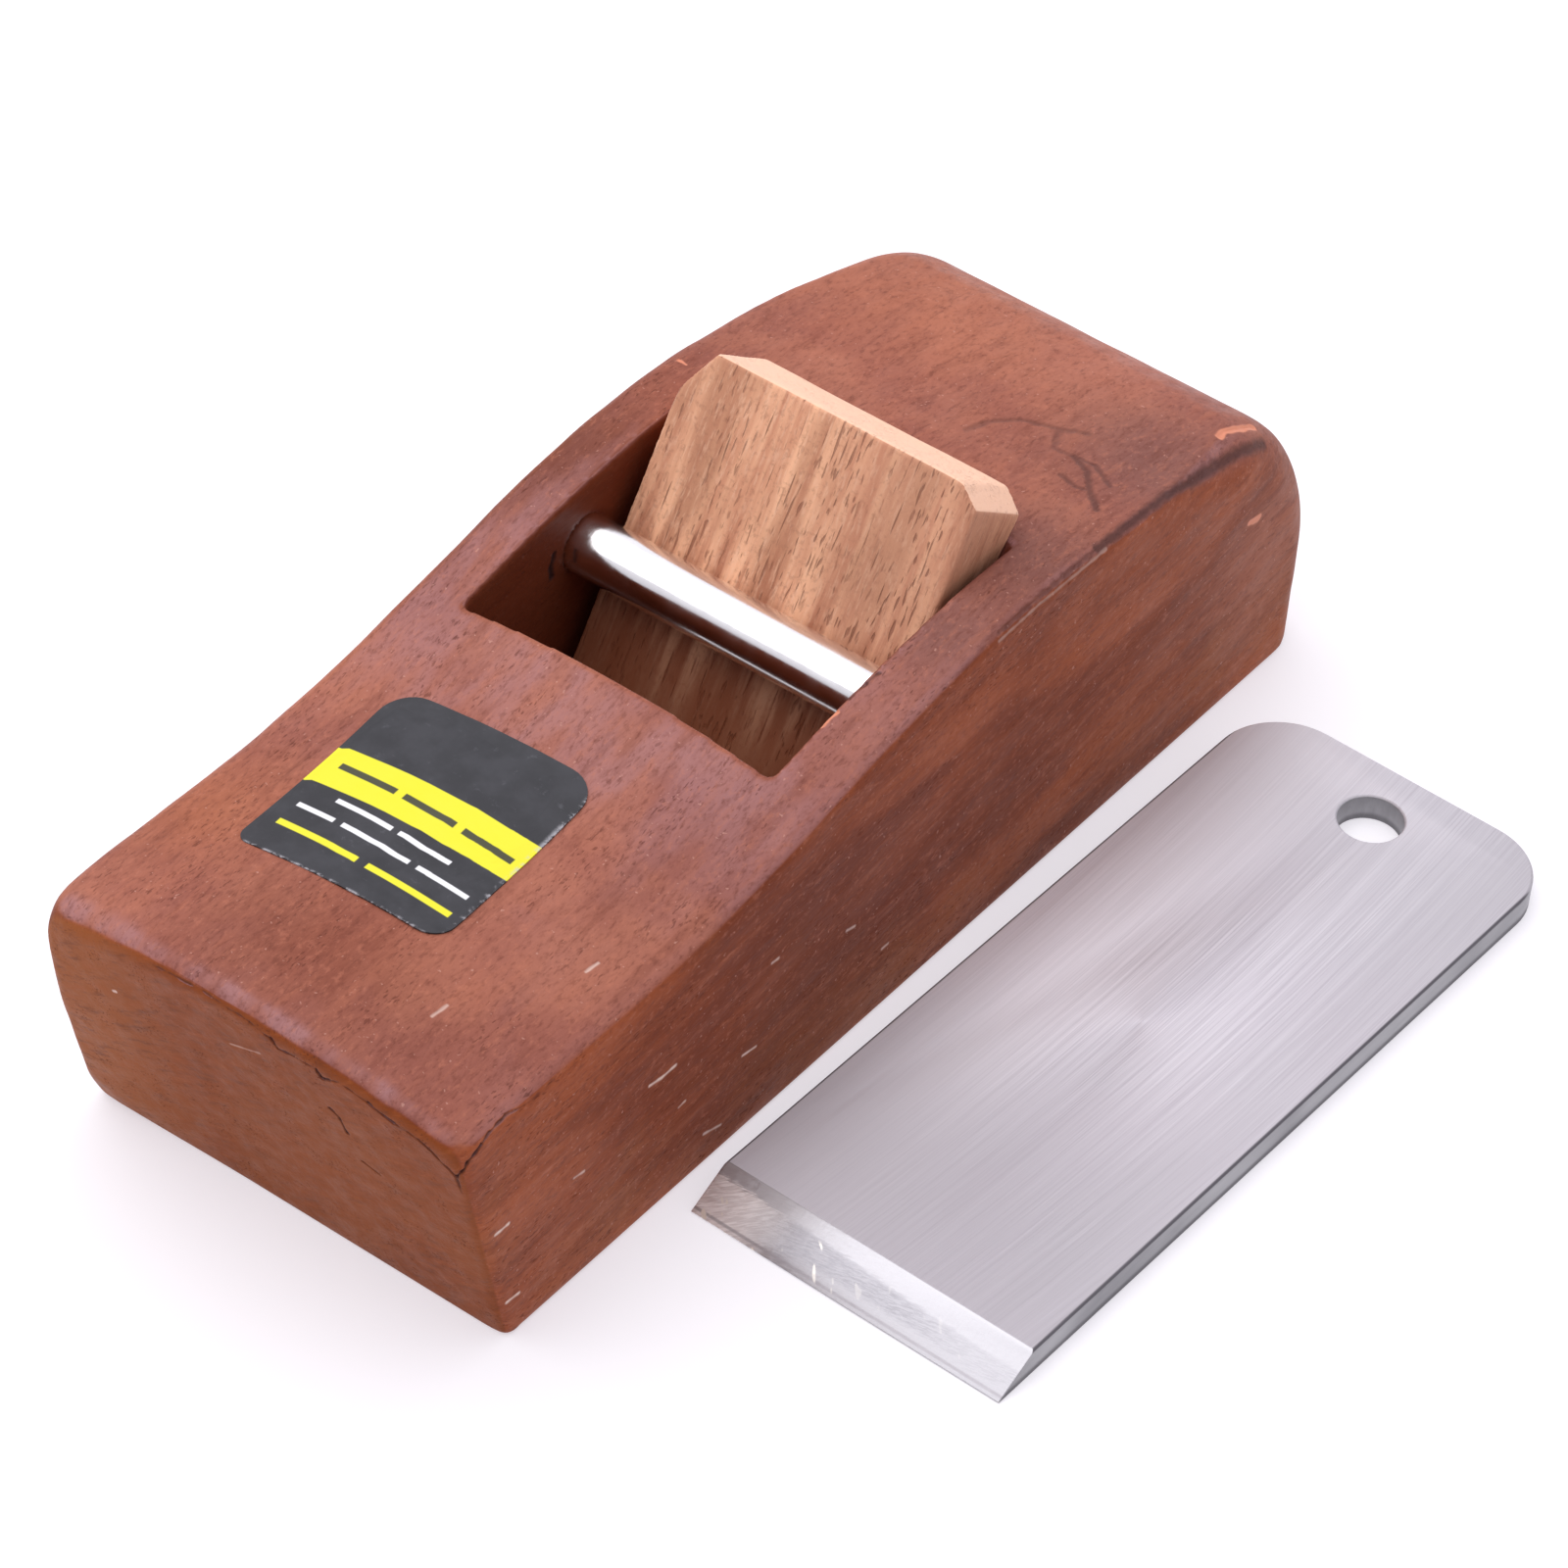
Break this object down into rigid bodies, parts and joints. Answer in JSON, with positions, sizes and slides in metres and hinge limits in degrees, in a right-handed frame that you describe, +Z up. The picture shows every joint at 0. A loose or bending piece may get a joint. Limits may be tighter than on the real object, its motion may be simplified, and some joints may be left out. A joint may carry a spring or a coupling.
{
  "type": "wooden hand plane",
  "caption": "Small wooden push plane with a raked toe, rounded heel, crowned back, steel cross pin, tapered wedge, toe label and a loose bevelled iron.",
  "frame": {"origin": "centre of the sole, on the surface it stands on", "axes": "+Y from the toe to the heel, +Z up from the sole, +X to the side where the loose iron lies"},
  "size_m": [0.0777, 0.1213, 0.0415],
  "materials": {
    "body_wood": "rubbed, with dents and small cracks",
    "pin_steel": "polished",
    "wedge_wood": "planed, open pores",
    "iron_steel": "ground lengthwise",
    "label_sheet": "printed, rubbed"
  },
  "bodies": {
    "plane_body": {"body": "body_wood", "cross_pin": "pin_steel", "label": "label_sheet"},
    "wedge": {"wedge": "wedge_wood"},
    "iron": {"iron": "iron_steel"}
  },
  "joints": [
    {"name": "wedge_slide", "type": "slide", "parent": "plane_body", "child": "wedge", "axis": [0, 0.6428, 0.766], "range_m": [0, 0.06]},
    {"name": "iron_lift", "type": "slide", "parent": "plane_body", "child": "iron", "axis": [0, 0, 1], "range_m": [0, 0.08]}
  ]
}
